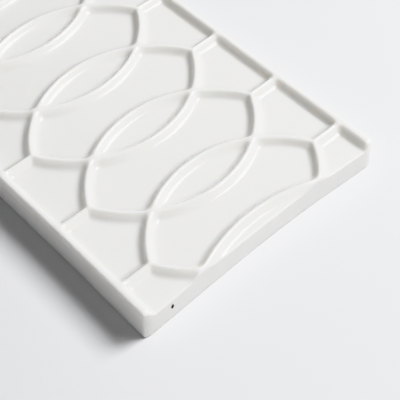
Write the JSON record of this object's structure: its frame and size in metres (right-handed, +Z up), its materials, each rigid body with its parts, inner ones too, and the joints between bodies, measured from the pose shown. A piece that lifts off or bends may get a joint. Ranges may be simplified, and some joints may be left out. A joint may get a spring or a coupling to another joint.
{
  "type": "relief accent tile",
  "caption": "Ceramic border tile with raised rims along its long sides and a chain of interlaced pointed ovals in relief, which carries on from tile to tile",
  "frame": {"origin": "centre of the footprint of the flat back, which lies on the ground plane", "axes": "X along the tile, Y across it from rim to rim, Z up out of the glazed face"},
  "size_m": [0.2, 0.0754, 0.0092],
  "materials": {
    "white_gloss_glaze": "white gloss glaze over a white fired body"
  },
  "bodies": {
    "root": {"accent_tile": "white_gloss_glaze"}
  },
  "joints": []
}
